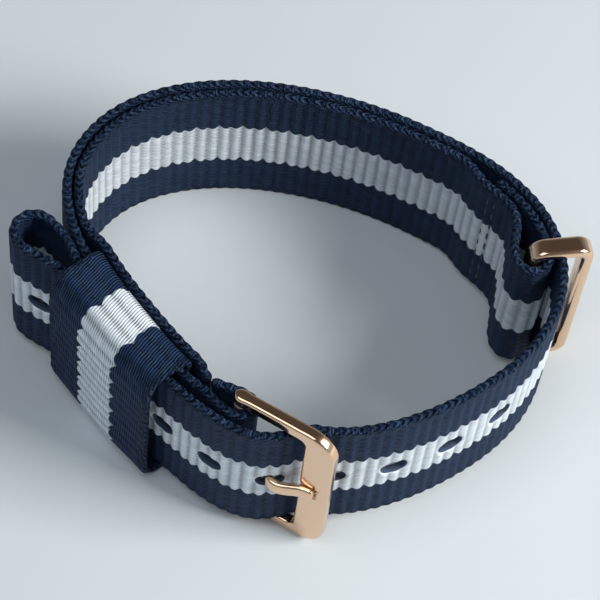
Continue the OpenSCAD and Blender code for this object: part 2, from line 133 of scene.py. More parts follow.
def quarter(x, y, wide, tall, start, count):
    # Points on a quarter of an ellipse round x and y, from the angle where it starts
    return [(x + wide * math.cos(t), y + tall * math.sin(t))
            for t in np.radians(np.linspace(start, start + 90, count))]

def splinePoint(points, i, u):
    n = len(points)
    weights = ((1 - u) ** 3, 3 * u ** 3 - 6 * u * u + 4, 1 + 3 * u + 3 * u * u - 3 * u ** 3, u ** 3)
    return sum(w * points[(i + k - 1) % n] for k, w in enumerate(weights)) / 6

def runOf(points):
    steps = np.linalg.norm(np.diff(np.asarray(points)[:, :2], axis=0), axis=1)
    return np.concatenate([[0.0], np.cumsum(steps)])

# The loop's middle line: a smooth closed curve through its knots
knots = np.array(loop["knots"])
knots = knots * (np.array([loop["width"], loop["depth"]]) / (knots.max(0) - knots.min(0)))
bends = np.roll(knots, 1, 0) - 2 * knots + np.roll(knots, -1, 0)
loopLine = [splinePoint(knots - bends / 6, i, k / 16) for i in range(len(knots)) for k in range(16)]
loopLine = np.array(loopLine + [loopLine[0]])
loopRun = runOf(loopLine)
loopLength = loopRun[-1]

def loopAt(s):
    q = s % loopLength
    return np.array([np.interp(q, loopRun, loopLine[:, 0]), np.interp(q, loopRun, loopLine[:, 1])])

def alongAt(s):
    d = loopAt(s + 0.0005) - loopAt(s - 0.0005)
    return d / np.linalg.norm(d)

def inwardAt(s):
    d = alongAt(s)
    return np.array([d[1], -d[0]])

def placeAt(s, offset):
    return loopAt(s) + offset * inwardAt(s)

def steadied(steps, s, reach):
    # A stepped line, averaged over five places so that its corners become bends
    xs, ys = zip(*steps)
    return float(np.mean(np.interp([s + k * reach for k in (-2, -1, 0, 1, 2)], xs, ys)))

# Height of the webbing's lower edge, which makes way for the buckle, the keeper and the ring
lifts = {
    "buckle": buckle["bottom"] + buckle["armHeight"] + buckle["play"],
    "keeper": keeper["thickness"] + keeper["play"],
    "ring": ring["barSize"] + ring["play"] + hairGap,
}
keeperFrom = keeper["at"] - keeper["width"] / 2
keeperTo = keeper["at"] + keeper["width"] / 2
liftSteps = [
    (0, lifts["buckle"]), (hingeBar["at"] + 0.001, lifts["buckle"]),
    (keeperFrom, lifts["keeper"]), (keeperTo, lifts["keeper"]),
    (loopLength * 0.32, 0), (loopLength * 0.58, 0),
    (ring["at"] - 0.005, lifts["ring"]), (ring["at"] + 0.004, lifts["ring"]),
    (loopLength - 0.010, lifts["buckle"]), (loopLength + hingeBar["at"], lifts["buckle"]),
    (loopLength + keeperFrom, lifts["keeper"]),
]

def liftAt(s):
    return steadied(liftSteps, s, 0.001)

layer = webbing["layer"]
halfThick = webbing["thickness"] / 2
barOffset = layer / 2
barFold = hingeBar["tubeRadius"] + hairGap + halfThick
barCentre = placeAt(hingeBar["at"], barOffset)
barAlong = alongAt(hingeBar["at"])
frameAngle = math.atan2(-barAlong[1], -barAlong[0]) + math.radians(buckle["turn"])
frameX = np.array([math.cos(frameAngle), math.sin(frameAngle)])
frameY = np.array([-math.sin(frameAngle), math.cos(frameAngle)])
midHeight = lifts["buckle"] + webbing["width"] / 2

keeperCentre = loopAt(keeper["at"])
keeperAlong = alongAt(keeper["at"])
keeperInward = inwardAt(keeper["at"])
keeperFront = -(2 * layer + halfThick + keeper["play"] + keeper["slack"])
keeperBack = halfThick + keeper["play"]
riseLine = np.array([
    [(loopAt(s) - keeperCentre) @ keeperAlong, (loopAt(s) - keeperCentre) @ keeperInward]
    for s in np.arange(keeper["at"] - 0.018, keeper["at"] + 0.0181, 0.0005)])

def keeperPoint(a, b):
    return keeperCentre + a * keeperAlong + b * keeperInward

def riseAt(a):
    return float(np.interp(a, riseLine[:, 0], riseLine[:, 1]))

# The tail passes under the front bar, outwards over the hinge bar and into the keeper
frontAt = loopLength + hingeBar["at"] - buckle["length"]
frontOffset = float((barCentre + buckle["length"] * frameX - loopAt(frontAt)) @ inwardAt(frontAt))
frontOffset += buckle["thickness"] / 2 + halfThick + buckle["frontPlay"]
tailSteps = [
    (frontAt - 0.0033, 0), (frontAt + 0.0003, frontOffset),
    (frontAt + 0.0021, frontOffset + 0.35 * layer), (frontAt + 0.0040, frontOffset - 0.75 * layer),
    (loopLength + hingeBar["at"] - 0.0032, barOffset - barFold - layer + 0.0001),
    (loopLength + hingeBar["at"], barOffset - barFold - layer - 0.00012),
    (loopLength + hingeBar["at"] + 0.0034, -1.5 * layer), (loopLength + keeperFrom - 0.0008, -1.3 * layer),
    (loopLength + keeperFrom + 0.0031, -1.5 * layer), (loopLength + keeperFrom + 0.0063, -2 * layer),
]
tailTurn = keeper["width"] / 2 + tail["out"] - tail["foldWidth"] / 2 - halfThick
tailMiddle = -1.8 * layer

def tailLeg(a, layers, side, easeFrom):
    turned = ease((a - easeFrom) / (tailTurn - easeFrom))
    return mix(riseAt(a) - layers * layer, tailMiddle + side * tail["foldWidth"] / 2, turned)

def onLoop(s, offset):
    return [*placeAt(s, offset), liftAt(s)]

def arcStations(centre, radius, across, onwards, start, end, height, count=16):
    # Points round a fold: "across" is where angle 0 points, "onwards" where 90 degrees points
    angles = np.radians(np.linspace(start, end, count))
    return [[*(centre + radius * (math.cos(a) * across + math.sin(a) * onwards)), height] for a in angles]

def barWrapOffset(s, side):
    resting = layer if side > 0 else 0
    closed = ease((s - hingeBar["at"]) / (hingeBar["foldLength"] + 0.001))
    return mix(barOffset + side * barFold, resting, closed)

def longRoute():
    at = hingeBar["at"]
    route = [onLoop(s, barWrapOffset(s, 1))
             for s in np.linspace(at + hingeBar["foldLength"], at + routeStep, 10)]
    route += arcStations(barCentre, barFold, inwardAt(at), -alongAt(at), 0, 180, liftAt(at))
    for s in np.arange(at + 0.0005, loopLength + keeper["at"] + 0.0042, routeStep):
        offset = barWrapOffset(s, -1) if s < loopLength - 0.009 else steadied(tailSteps, s, 0.0005)
        route.append(onLoop(s, offset))
    for a in np.arange(0.0046, tailTurn - 0.0002, routeStep):
        leg = tailLeg(a, 2, -1, tail["outerEase"])
        route.append([*keeperPoint(a, leg), liftAt(loopLength + keeper["at"] + a)])
    height = liftAt(loopLength + keeper["at"] + tailTurn)
    route += arcStations(keeperPoint(tailTurn, tailMiddle), tail["foldWidth"] / 2, keeperAlong, keeperInward,
                         -90, 90, height)
    for a in np.arange(tailTurn - routeStep, keeper["width"] / 2 - tail["tuck"], -routeStep):
        leg = tailLeg(a, 1, 1, tail["innerEase"])
        route.append([*keeperPoint(a, leg), liftAt(loopLength + keeper["at"] + 0.020)])
    return route

ringFold = ring["depth"] / 2 + halfThick + ring["play"]
ringOffset = layer + ringFold
ringCentre = placeAt(ring["at"], ringOffset)
seamAt = ring["at"] - ring["foldLength"]
shortStart = hingeBar["at"] + hingeBar["foldLength"] + 0.0003
behindKeeper = webbing["thickness"] + keeper["thickness"] + 2 * keeper["play"]

def shortOffset(s):
    lapped = layer * (1 + ease((s - seamAt + 0.005) / 0.005))
    out = ease((s - shortStart) / (keeperFrom - 0.0001 - shortStart)) - ease((s - keeperTo - 0.0003) / 0.0045)
    toRing = ease((s - ring["at"] + 0.0084) / 0.0076)
    return lapped + (behindKeeper - layer) * out + (ringOffset + ringFold - 2 * layer) * toRing

def shortRoute():
    at = ring["at"]
    route = [onLoop(s, shortOffset(s)) for s in np.arange(shortStart, at - 0.0002, routeStep)]
    route += arcStations(ringCentre, ringFold, inwardAt(at), alongAt(at), 0, 180, liftAt(at))
    route += [onLoop(s, layer) for s in np.arange(at - routeStep, seamAt, -routeStep)]
    return route

def evened(route):
    # The route at an even spacing, with its small kinks rubbed out
    route = np.asarray(route)
    run = runOf(route)
    places = np.linspace(0, run[-1], int(run[-1] / routeStep) + 1)
    even = np.stack([np.interp(places, run, route[:, k]) for k in range(3)], 1)
    for _ in range(3):
        even[1:-1] = (even[:-2] + 2 * even[1:-1] + even[2:]) / 4
    return even

longLine = evened(longRoute())
shortLine = evened(shortRoute())

# The whole part seen from above is centred on the origin, as the solids are
ringEnd = ringCentre - inwardAt(ring["at"]) * (ring["reach"] + ring["barSize"] / 2)
frameEnd = barCentre + (buckle["length"] + buckle["frontWidth"] / 2) * frameX
centre = np.array([
    (longLine[:, 0].min() - halfThick + max(ringEnd[0], longLine[:, 0].max() + halfThick)) / 2,
    (frameEnd[1] - buckle["thickness"] / 2 + longLine[:, 1].max() + halfThick) / 2,
])
print("routes ready:", round(runOf(longLine)[-1], 4), "m of long webbing, centre", centre.round(5))

tongueRest = -buckle["thickness"] / 2 + buckle["notchDepth"] - hairGap - tongue["thickness"] / 2
front = buckle["length"]
tongueKnots = [
    (0.0004, -0.0005), (0.0018, -0.0003), (front - 0.0068, -0.0001), (front - 0.0055, -0.0006),
    (front - 0.0050, -0.0017), (front - 0.0041, -0.00215), (front - 0.0029, -0.0018),
    (front - 0.0016, tongueRest - 0.0002), (front - 0.0006, tongueRest),
    (front + tongue["pastFront"] - tongue["thickness"] / 2, tongueRest),
]
tongueControls = np.array([tongueKnots[0], *tongueKnots, tongueKnots[-1]])
tongueLine = [splinePoint(tongueControls, i, k / 6) for i in range(1, len(tongueKnots)) for k in range(6)]
tongueLine = np.array(tongueLine + [splinePoint(tongueControls, len(tongueKnots) - 1, 1.0)])

def firstHoleAt():
    # Where the tongue comes through the tail, as a length along the long webbing
    run = runOf(longLine)
    best = None
    for place, point in zip(run, longLine):
        seen = point[:2] - barCentre
        x, y = seen @ frameX, seen @ frameY
        if not 0.003 < x < buckle["length"] or place < loopLength * 0.8:
            continue
        gap = abs(np.interp(x, tongueLine[:, 0], tongueLine[:, 1]) - y)
        if best is None or gap < best[0]:
            best = (gap, place)
    return best[1]

firstHole = firstHoleAt()
print("tongue's hole at", round(firstHole, 5))

# Helpers for node trees and meshes

def feed(node, values):
    # Sets inputs by name or number: a field or socket is linked, anything else is the input's value
    for key, value in values.items():
        value = getattr(value, "socket", value)
        if isinstance(value, bpy.types.NodeSocket):
            node.id_data.links.new(value, node.inputs[key])
        else:
            node.inputs[key].default_value = value

def addNode(tree, kind, inputs=None, **settings):
    node = tree.nodes.new(kind)
    for name, value in settings.items():
        setattr(node, name, value)
    feed(node, inputs or {})
    return node

def mathNode(tree, operation, values, clamp=False):
    node = addNode(tree, "ShaderNodeMath", dict(enumerate(values)), operation=operation, use_clamp=clamp)
    return Field(node.outputs[0])

class Field:
    # A value in a node tree, to reckon with: each sign becomes a Math node
    def __init__(self, socket):
        self.socket = socket

    def step(self, operation, *values):
        return mathNode(self.socket.id_data, operation, values)

    def __add__(self, other):
        return self.step("ADD", self, other)

    def __sub__(self, other):
        return self.step("SUBTRACT", self, other)

    def __rsub__(self, other):
        return self.step("SUBTRACT", other, self)

    def __mul__(self, other):
        return self.step("MULTIPLY", self, other)

    def __truediv__(self, other):
        return self.step("DIVIDE", self, other)

class TreeSteps:
    # Short calls for the nodes of one tree. do.multiplyAdd(a, b, c) is a Math node, and so is
    # every other operation that has no method of its own here.
    def __init__(self, tree):
        self.tree = tree

    def __getattr__(self, name):
        operation = "".join("_" + c if c.isupper() else c for c in name).upper()
        return lambda *values, clamp=False: mathNode(self.tree, operation, values, clamp)

    def vector(self, x, y, z=0.0):
        return addNode(self.tree, "ShaderNodeCombineXYZ", {0: x, 1: y, 2: z}).outputs[0]

    def parts(self, vector):
        return [Field(s) for s in addNode(self.tree, "ShaderNodeSeparateXYZ", {0: vector}).outputs]

    def place(self):
        # X, Y and Z of the point that a field is worked out for
        return self.parts(self.tree.nodes.new("GeometryNodeInputPosition").outputs[0])

    def onVectors(self, operation, first, second=None):
        inputs = {0: first}
        if second is not None:
            inputs["Scale" if operation == "SCALE" else 1] = second
        node = addNode(self.tree, "ShaderNodeVectorMath", inputs, operation=operation)
        return Field(node.outputs["Value" if operation == "LENGTH" else 0])

    def blend(self, share, first, second):
        # From one colour to another
        return addNode(self.tree, "ShaderNodeMix", {0: share, 6: first, 7: second},
                       data_type="RGBA").outputs[2]

    def noise(self, vector, scale, detail, roughness=0.5):
        node = addNode(self.tree, "ShaderNodeTexNoise", {
            "Vector": vector, "Scale": scale, "Detail": detail, "Roughness": roughness})
        return Field(node.outputs[0])

    def rounded(self, share, power):
        # Rises from 0 to 1 like the quarter of a rounded edge
        missing = self.power(self.subtract(1.0, share, clamp=True), power)
        return self.power(self.subtract(1.0, missing, clamp=True), 1 / power)

    def onMesh(self, kind, mesh, inputs=None, **settings):
        # The next node that a mesh or curve goes through, by its first socket
        return addNode(self.tree, "GeometryNode" + kind, {0: mesh, **(inputs or {})}, **settings).outputs[0]

    def finish(self, mesh, material):
        mesh = self.onMesh("RealizeInstances", self.onMesh("SetShadeSmooth", mesh))
        addNode(self.tree, "NodeGroupOutput", {0: self.onMesh("SetMaterial", mesh, {"Material": material})})
        return self.tree

def newTree(name, kind, inputs, outputs):
    # Sockets are listed by their type; a dictionary gives them values too
    tree = bpy.data.node_groups.new(name, kind)
    for way, listed in (("INPUT", inputs), ("OUTPUT", outputs)):
        for socketType, labels in listed.items():
            for label in labels:
                socket = tree.interface.new_socket(label, in_out=way, socket_type="NodeSocket" + socketType)
                if isinstance(labels, dict):
                    socket.default_value = labels[label]
    given = {socket.name: Field(socket) for socket in tree.nodes.new("NodeGroupInput").outputs}
    return tree, TreeSteps(tree), given

def standFor(obj, node, body):
    # The piece takes the place of one of the frame's solids
    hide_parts(node)
    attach(obj, body)

def setInputs(modifier, values):
    sockets = {s.name: s.identifier for s in modifier.node_group.interface.items_tree
               if s.item_type == "SOCKET"}
    for name, value in values.items():
        modifier[sockets[name]] = value

def newObject(name, data):
    obj = bpy.data.objects.new(name, data)
    bpy.context.scene.collection.objects.link(obj)
    return obj

def bakedObject(name, source, tree, values):
    # Runs a node tree on a guide mesh and keeps the result as a plain mesh
    guide = newObject(name + "Guide", source)
    modifier = guide.modifiers.new(name, "NODES")
    modifier.node_group = tree
    setInputs(modifier, values)
    depsgraph = bpy.context.evaluated_depsgraph_get()
    mesh = bpy.data.meshes.new_from_object(guide.evaluated_get(depsgraph), depsgraph=depsgraph)
    mesh.name = name
    guide.modifiers.remove(modifier)
    bpy.data.objects.remove(guide)
    print(name, "made:", len(mesh.polygons), "faces")
    return newObject(name, mesh)

def guideMesh(name, rows, spans):
    # A plain sheet through rows of points, with a map that runs 0 to 1 along and across
    across = len(rows[0])
    faces = [(i * across + k, (i + 1) * across + k, (i + 1) * across + k + 1, i * across + k + 1)
             for i in range(len(rows) - 1) for k in range(across - 1)]
    mesh = bpy.data.meshes.new(name)
    mesh.from_pydata([tuple(p) for row in rows for p in row], [], faces)
    layMap = mesh.uv_layers.new(name="lay")
    for corner in mesh.loops:
        i, k = divmod(corner.vertex_index, across)
        layMap.data[corner.index].uv = (spans[i], k / (across - 1))
    mesh.update()
    return mesh

# The woven band, a flat sheet of ribs that is laid on a guide
band = {
    "crowding": 0.7,         # how much closer its points stand at the edges and in the middle
    "faceGap": 0.01,         # between its two faces while it is flat
    "holeReach": 0.0006,     # points this near to a hole are moved onto the hole's outline
    "meltedWidth": 0.00042,  # of the smooth zone round a hole
    "rimRound": 0.00018,
    "endRound": 0.0005,
    "selvedge": 0.0012,
    "tiny": 1e-6,
}

def slotGap(do, given):
    # Distance from a point of the flat band to the nearest hole's edge, the nearest point of that hole's
    # own middle line, and the way from there
    at = do.place()
    nearest = do.round((at[0] - given["First Hole"]) / given["Hole Pitch"])
    nearest = do.minimum(do.maximum(nearest, given["Holes Before"] * -1.0), given["Holes After"])
    middle = nearest * given["Hole Pitch"] + given["First Hole"]
    reach = (given["Hole Length"] - given["Hole Height"]) * 0.5
    held = do.maximum(do.minimum(at[0] - middle, reach), reach * -1.0)
    spine = do.vector(middle + held, given["Width"] * 0.5, at[2])
    away = do.onVectors("SUBTRACT", do.vector(*at), spine)
    return do.onVectors("LENGTH", away) - given["Hole Height"] * 0.5, spine, away

def makeBandTree():
    tree, do, given = newTree("wovenBand", "GeometryNodeTree", {
        "Geometry": ["Guide"],
        "Float": ["Length", "Width", "Thickness", "Rib Pitch", "Rib Depth", "Knob Depth", "Edge Round",
                  "First Hole", "Hole Pitch", "Hole Length", "Hole Height", "Holes Before", "Holes After"],
        "Int": ["Points Along", "Points Across"], "Bool": ["Closed", "Pierced"], "Material": ["Material"]},
        {"Geometry": ["Band"]})

    # a flat sheet, its points closer together at the edges and in the middle
    sheet = addNode(tree, "GeometryNodeMeshGrid", {
        "Size X": 1.0, "Size Y": 1.0, "Vertices X": given["Points Along"],
        "Vertices Y": given["Points Across"]}).outputs["Mesh"]
    at = do.place()
    along = (at[0] + 0.5) * given["Length"]
    share = at[1] + 0.5
    crowd = do.sine(share * (4 * math.pi)) * (band["crowding"] / (4 * math.pi))
    across = (share - crowd) * given["Width"]
    sheet = do.onMesh("SetPosition", sheet, {"Position": do.vector(along, across)})

    # holes: the faces inside are taken out, and the points left at the edge go onto the slot's outline
    gap, spine, away = slotGap(do, given)
    inside = do.lessThan(gap, 0.0) * given["Pierced"]
    sheet = do.onMesh("DeleteGeometry", sheet, {"Selection": inside}, domain="FACE", mode="ALL")
    lone = do.compare(tree.nodes.new("GeometryNodeInputMeshEdgeNeighbors").outputs[0], 1.0, 0.1)
    border = Field(addNode(tree, "GeometryNodeFieldOnDomain", {"Value": lone}, domain="EDGE",
                           data_type="BOOLEAN").outputs[0])
    chosen = border * do.lessThan(gap, band["holeReach"]) * given["Pierced"]
    rim = do.onVectors("SCALE", do.onVectors("NORMALIZE", away), given["Hole Height"] * 0.5)
    sheet = do.onMesh("SetPosition", sheet, {
        "Selection": chosen, "Position": do.onVectors("ADD", spine, rim)})

    # the sheet gets a second face, with walls at its edges and in its holes
    solid = addNode(tree, "GeometryNodeExtrudeMesh", {
        "Mesh": sheet, "Offset": (0.0, 0.0, band["faceGap"]), "Offset Scale": 1.0, "Individual": False},
        mode="FACES")
    at = do.place()
    ends = do.lessThan(at[0], band["tiny"]) + do.greaterThan(at[0], given["Length"] - band["tiny"])
    ends = ends * solid.outputs["Side"] * given["Closed"]
    opened = do.onMesh("DeleteGeometry", solid.outputs["Mesh"], {"Selection": ends},
                       domain="FACE", mode="ALL")
    joined = tree.nodes.new("GeometryNodeJoinGeometry")
    for part in (do.onMesh("FlipFaces", sheet), opened):
        tree.links.new(part, joined.inputs[0])
    body = do.onMesh("MergeByDistance", joined.outputs[0], {"Distance": band["tiny"]})

    # what the weave and its colours follow
    at = do.place()
    ribs = at[0] / given["Rib Pitch"]
    lay = do.vector(ribs, at[1] / given["Width"])
    body = do.onMesh("StoreNamedAttribute", body, {"Name": "weave", "Value": lay},
                     data_type="FLOAT2", domain="CORNER")
    gap = slotGap(do, given)[0]
    melted = do.subtract(1.0, gap / band["meltedWidth"], clamp=True) * given["Pierced"]
    body = do.onMesh("StoreNamedAttribute", body, {"Name": "melted", "Value": melted},
                     data_type="FLOAT", domain="POINT")

    # ribs, rounded selvedges, rims and ends
    hollow = do.power(do.absolute(do.cosine(ribs * math.pi)), 3.0) * (1.0 - melted * 0.85)
    fromEdge = do.minimum(at[1], given["Width"] - at[1])
    fromEnd = do.minimum(at[0], given["Length"] - at[0]) + given["Closed"]
    fromHole = do.maximum(gap / band["rimRound"], 1.0 - given["Pierced"])
    nearEdge = do.subtract(1.0, fromEdge / band["selvedge"], clamp=True)
    relief = given["Rib Depth"] * (nearEdge * -0.55 + 1.0)
    height = do.rounded(fromEdge / given["Edge Round"], 2.2) * 0.5
    height = height * (do.rounded(fromHole, 2.0) * 0.25 + 0.75)
    height = height * (do.rounded(fromEnd / band["endRound"], 2.0) * 0.5 + 0.5)
    height = height * (1.0 - hollow * relief) * given["Thickness"]
    which = do.greaterThan(at[2], band["faceGap"] / 2) * 2.0 - 1.0
    towards = do.sign(given["Width"] * 0.5 - at[1])
    across = nearEdge * hollow * given["Knob Depth"] * towards + at[1]

    # the flat band is laid on its guide
    guide = addNode(tree, "GeometryNodeCaptureAttribute", {"Geometry": given["Guide"]}, domain="POINT")
    guide.capture_items.new("VECTOR", "Normal")
    tree.links.new(tree.nodes.new("GeometryNodeInputNormal").outputs[0], guide.inputs[1])
    lay = addNode(tree, "GeometryNodeInputNamedAttribute", {"Name": "lay"}, data_type="FLOAT_VECTOR")
    u, v = (do.minimum(do.maximum(k, 1e-5), 1 - 1e-5)
            for k in (at[0] / given["Length"], across / given["Width"]))
    found = []
    for value in (tree.nodes.new("GeometryNodeInputPosition").outputs[0], guide.outputs[1]):
        found.append(addNode(tree, "GeometryNodeSampleUVSurface", {
            "Mesh": guide.outputs[0], "Value": value, "Source UV Map": lay.outputs[0],
            "Sample UV": do.vector(u, v)}, data_type="FLOAT_VECTOR").outputs[0])
    lifted = do.onVectors("SCALE", do.onVectors("NORMALIZE", found[1]), height * which)
    body = do.onMesh("SetPosition", body, {"Position": do.onVectors("ADD", found[0], lifted)})
    body = do.onMesh("MergeByDistance", body, {"Distance": 2 * band["tiny"]})
    return do.finish(body, given["Material"])

# Materials

finishes = {
    "navy": (0.007, 0.020, 0.055, 1),
    "white": (0.86, 0.94, 1.0, 1),
    "roseGold": (0.86, 0.58, 0.39, 1),
    "steel": (0.62, 0.62, 0.63, 1),
    "thread": (0.022, 0.031, 0.068, 1),
}

weave = {
    "yarn": 0.32,            # millimetres from one slanting yarn to the next
    "slant": 1.6,            # yarns that a stroke climbs on its way over one rib
    "pinholeShade": 0.62,        # painted shade in the gaps between the yarns
    "navyGrooveShade": 0.62,     # painted shade in the hollows between the ribs
    "whiteGrooveShade": 0.12,
    "navyStrokeShading": 1.5,      # painted light and shade from one yarn to the next
    "whiteStrokeShading": 0.15,
    # painted highlights on the yarns
    "yarnHighlightShare": 0.75,
    "knotPaintedShading": 1.1,        # painted light and shade on the knots along the selvedge
    # colour of the painted highlights
    "paintedHighlightColour": (0.075, 0.12, 0.22, 1),
    # painted shade on the walls of the holes
    "holeWallShade": (0.055, 0.075, 0.125, 1),
    "bump": 0.00026,
}

def newMaterial(name, **values):
    material = bpy.data.materials.new(name)
    material.use_nodes = True
    shader = material.node_tree.nodes["Principled BSDF"]
    for key, value in values.items():
        shader.inputs[key.replace("_", " ")].default_value = value
    return material, material.node_tree, shader

def darker(colour, share):
    return tuple(c * share for c in colour[:3]) + (1,)

def makeWeaveGroup():
    tree, do, given = newTree("ribbedWeave", "ShaderNodeTree", {
        "Vector": {"Weave": (0, 0, 0)},
        "Float": {"Width": 20.0, "Melted": 0.0, "Yarn": weave["yarn"], "Slant": weave["slant"],
                  "Scallop": 0.36},
        "Color": {"Dark": finishes["navy"], "Light": finishes["white"], "Highlight": weave["paintedHighlightColour"],
                  "Core": weave["holeWallShade"]}},
        {"Color": ["Color"], "Float": ["Roughness", "Height"]})
    at = do.parts(given["Weave"])
    across = at[1] * given["Width"]
    ribNumber = do.floor(at[0])
    crest = do.absolute(do.sine(at[0] * math.pi))
    odd = do.flooredModulo(ribNumber, 2.0) * 0.5
    row = across / given["Yarn"] + (do.fract(at[0]) * given["Slant"] + odd)
    yarn = do.absolute(do.sine(row * math.pi))

    # the middle third is light, and is drawn to one side in scallops of two ribs each
    fromMiddle = across - given["Width"] * 0.5
    pairs = do.absolute(do.sine(at[0] * (math.pi / 2)))
    sway = (crest - 0.6) * 0.4 + (pairs - 0.64)
    inside = given["Width"] / 6.0 - do.absolute(sway * given["Scallop"] + fromMiddle)
    light = do.multiplyAdd(inside, 9.0, 0.5, clamp=True)
    fromEdge = given["Width"] * 0.5 - do.absolute(fromMiddle)
    selvedge = do.multiplyAdd(fromEdge, -2.2, 2.5, clamp=True)

    # slanting strokes of yarn with painted light and shade from one yarn to the next, and painted shade in
    # the pinholes and in the hollows between the ribs
    low = do.power(do.absolute(do.cosine(at[0] * math.pi)), 5.0)
    pinShade = low * do.power(1.0 - yarn, 1.2)
    grain = Field(addNode(tree, "ShaderNodeTexWhiteNoise", {"Vector": do.vector(ribNumber, do.floor(row))},
                          noise_dimensions="3D").outputs["Value"])
    fibre = do.noise(do.vector(at[0] * 2.0, across * 16.0), 1.0, 3.0, 0.6)
    patch = do.noise(do.vector(at[0] * 0.5, across * 0.5), 1.0, 2.0)
    # painted shade in the hollows between the ribs, stronger on navy than on white
    grooveShade = light * (weave["whiteGrooveShade"] - weave["navyGrooveShade"]) + weave["navyGrooveShade"]
    # painted light on the yarns' crests and painted shade between them
    strokeShading = light * (weave["whiteStrokeShading"] - weave["navyStrokeShading"]) + weave["navyStrokeShading"]
    strokeShading = (yarn - 0.64) * strokeShading * (selvedge * -0.8 + 1.0)
    # painted shade in pinholes and hollows and painted light and shade on the yarns, times random tone
    paintedShadeAndTone = (1.0 - pinShade * weave["pinholeShade"]) * (1.0 - low * grooveShade) * (strokeShading + 1.0)
    paintedShadeAndTone = paintedShadeAndTone * (grain * 0.16 + 0.88) * (fibre * 0.24 + 0.88) * (patch * 0.16 + 0.92)
    colour = do.onVectors("SCALE", do.blend(light, given["Dark"], given["Light"]), paintedShadeAndTone)

    # knots of yarn along the selvedges with painted light and shade, painted highlights there and on the
    # yarns, and painted shade on the holes' walls
    knots = addNode(tree, "ShaderNodeTexVoronoi", {
        "Vector": do.vector(at[0] * 4.6, across * 3.6), "Scale": 1.0, "Randomness": 0.9},
        feature="F1", voronoi_dimensions="3D").outputs
    knot = do.subtract(1.0, Field(knots["Distance"]) * 1.5, clamp=True)
    lucky = do.multiplyAdd(do.parts(knots["Color"])[0], 2.4, -0.9, clamp=True)
    # painted highlights on the selvedge's knots and on the yarns
    edgeHighlight = selvedge * do.power(knot, 2.0) * lucky
    yarnHighlight = (low * 0.5 + 0.5) * do.power(yarn, 3.0) * do.multiplyAdd(grain, 0.7, 0.3, clamp=True)
    paintedHighlight = do.maximum(edgeHighlight, yarnHighlight * weave["yarnHighlightShare"])
    # painted light on the knots and painted shade between them
    knotPaintedShading = (knot - 0.7) * (selvedge * weave["knotPaintedShading"]) + 1.0
    colour = do.onVectors("SCALE", colour, knotPaintedShading)
    # the painted highlights go on the navy only
    colour = do.blend(paintedHighlight * (1.0 - light), colour, given["Highlight"])
    # the holes' walls are painted dark as shade
    colour = do.blend(do.multiplyAdd(given["Melted"], 8.0, -6.6, clamp=True), colour, given["Core"])

    height = yarn * (low * 0.45 + 0.45) + fibre * 0.35 + knot * selvedge * 1.1
    height = height * (1.0 - given["Melted"])
    rough = given["Melted"] * -0.12 + (fibre * -0.18 + 0.66)
    addNode(tree, "NodeGroupOutput", {"Color": colour, "Roughness": rough, "Height": height})
    return tree

def webbingMaterial(name, group, width, scallop):
    material, tree, shader = newMaterial(name, Specular_IOR_Level=0.18, Specular_Tint=(0.32, 0.56, 1.0, 1))
    where = addNode(tree, "ShaderNodeUVMap", uv_map="weave").outputs[0]
    melted = addNode(tree, "ShaderNodeAttribute", attribute_name="melted", attribute_type="GEOMETRY")
    woven = addNode(tree, "ShaderNodeGroup", {
        "Weave": where, "Melted": melted.outputs["Fac"], "Width": width * 1000, "Scallop": scallop,
        "Dark": finishes["navy"], "Light": finishes["white"]}, node_tree=group).outputs
    bump = addNode(tree, "ShaderNodeBump", {
        "Strength": 1.0, "Distance": weave["bump"], "Height": woven["Height"]})
    feed(shader, {"Base Color": woven["Color"], "Roughness": woven["Roughness"], "Normal": bump.outputs[0]})
    return material

def makePolishGroup():
    # Faint marks of use on polished or turned metal
    tree, do, given = newTree("handledMetal", "ShaderNodeTree", {
        "Float": {"Roughness": 0.12, "Smudge": 0.10, "Scratch Scale": 900.0}, "Vector": ["Vector"]},
        {"Float": ["Roughness", "Height"]})
    smudge = do.noise(given["Vector"], 260.0, 3.0)
    stretched = do.onVectors("MULTIPLY", given["Vector"], (1.0, 1.0, 9.0))
    scratch = do.noise(stretched, given["Scratch Scale"], 4.0, 0.7)
    rough = (smudge - 0.4) * given["Smudge"] + given["Roughness"]
    addNode(tree, "NodeGroupOutput", {
        "Roughness": do.multiplyAdd(scratch, 0.05, rough, clamp=True), "Height": smudge * 0.6 + scratch})
    return tree

def metalMaterial(name, group, colour, roughness, smudge, bumpDistance):
    material, tree, shader = newMaterial(name, Metallic=1.0, Base_Color=colour)
    where = tree.nodes.new("ShaderNodeTexCoord").outputs["Object"]
    marks = addNode(tree, "ShaderNodeGroup", {"Vector": where, "Roughness": roughness, "Smudge": smudge},
                    node_tree=group).outputs
    do = TreeSteps(tree)
    tone = do.blend(do.noise(where, 420.0, 2.0), darker(colour, 0.96), colour)
    bump = addNode(tree, "ShaderNodeBump", {
        "Strength": 0.3, "Distance": bumpDistance, "Height": marks["Height"]})
    feed(shader, {"Base Color": tone, "Roughness": marks["Roughness"], "Normal": bump.outputs[0]})
    return material

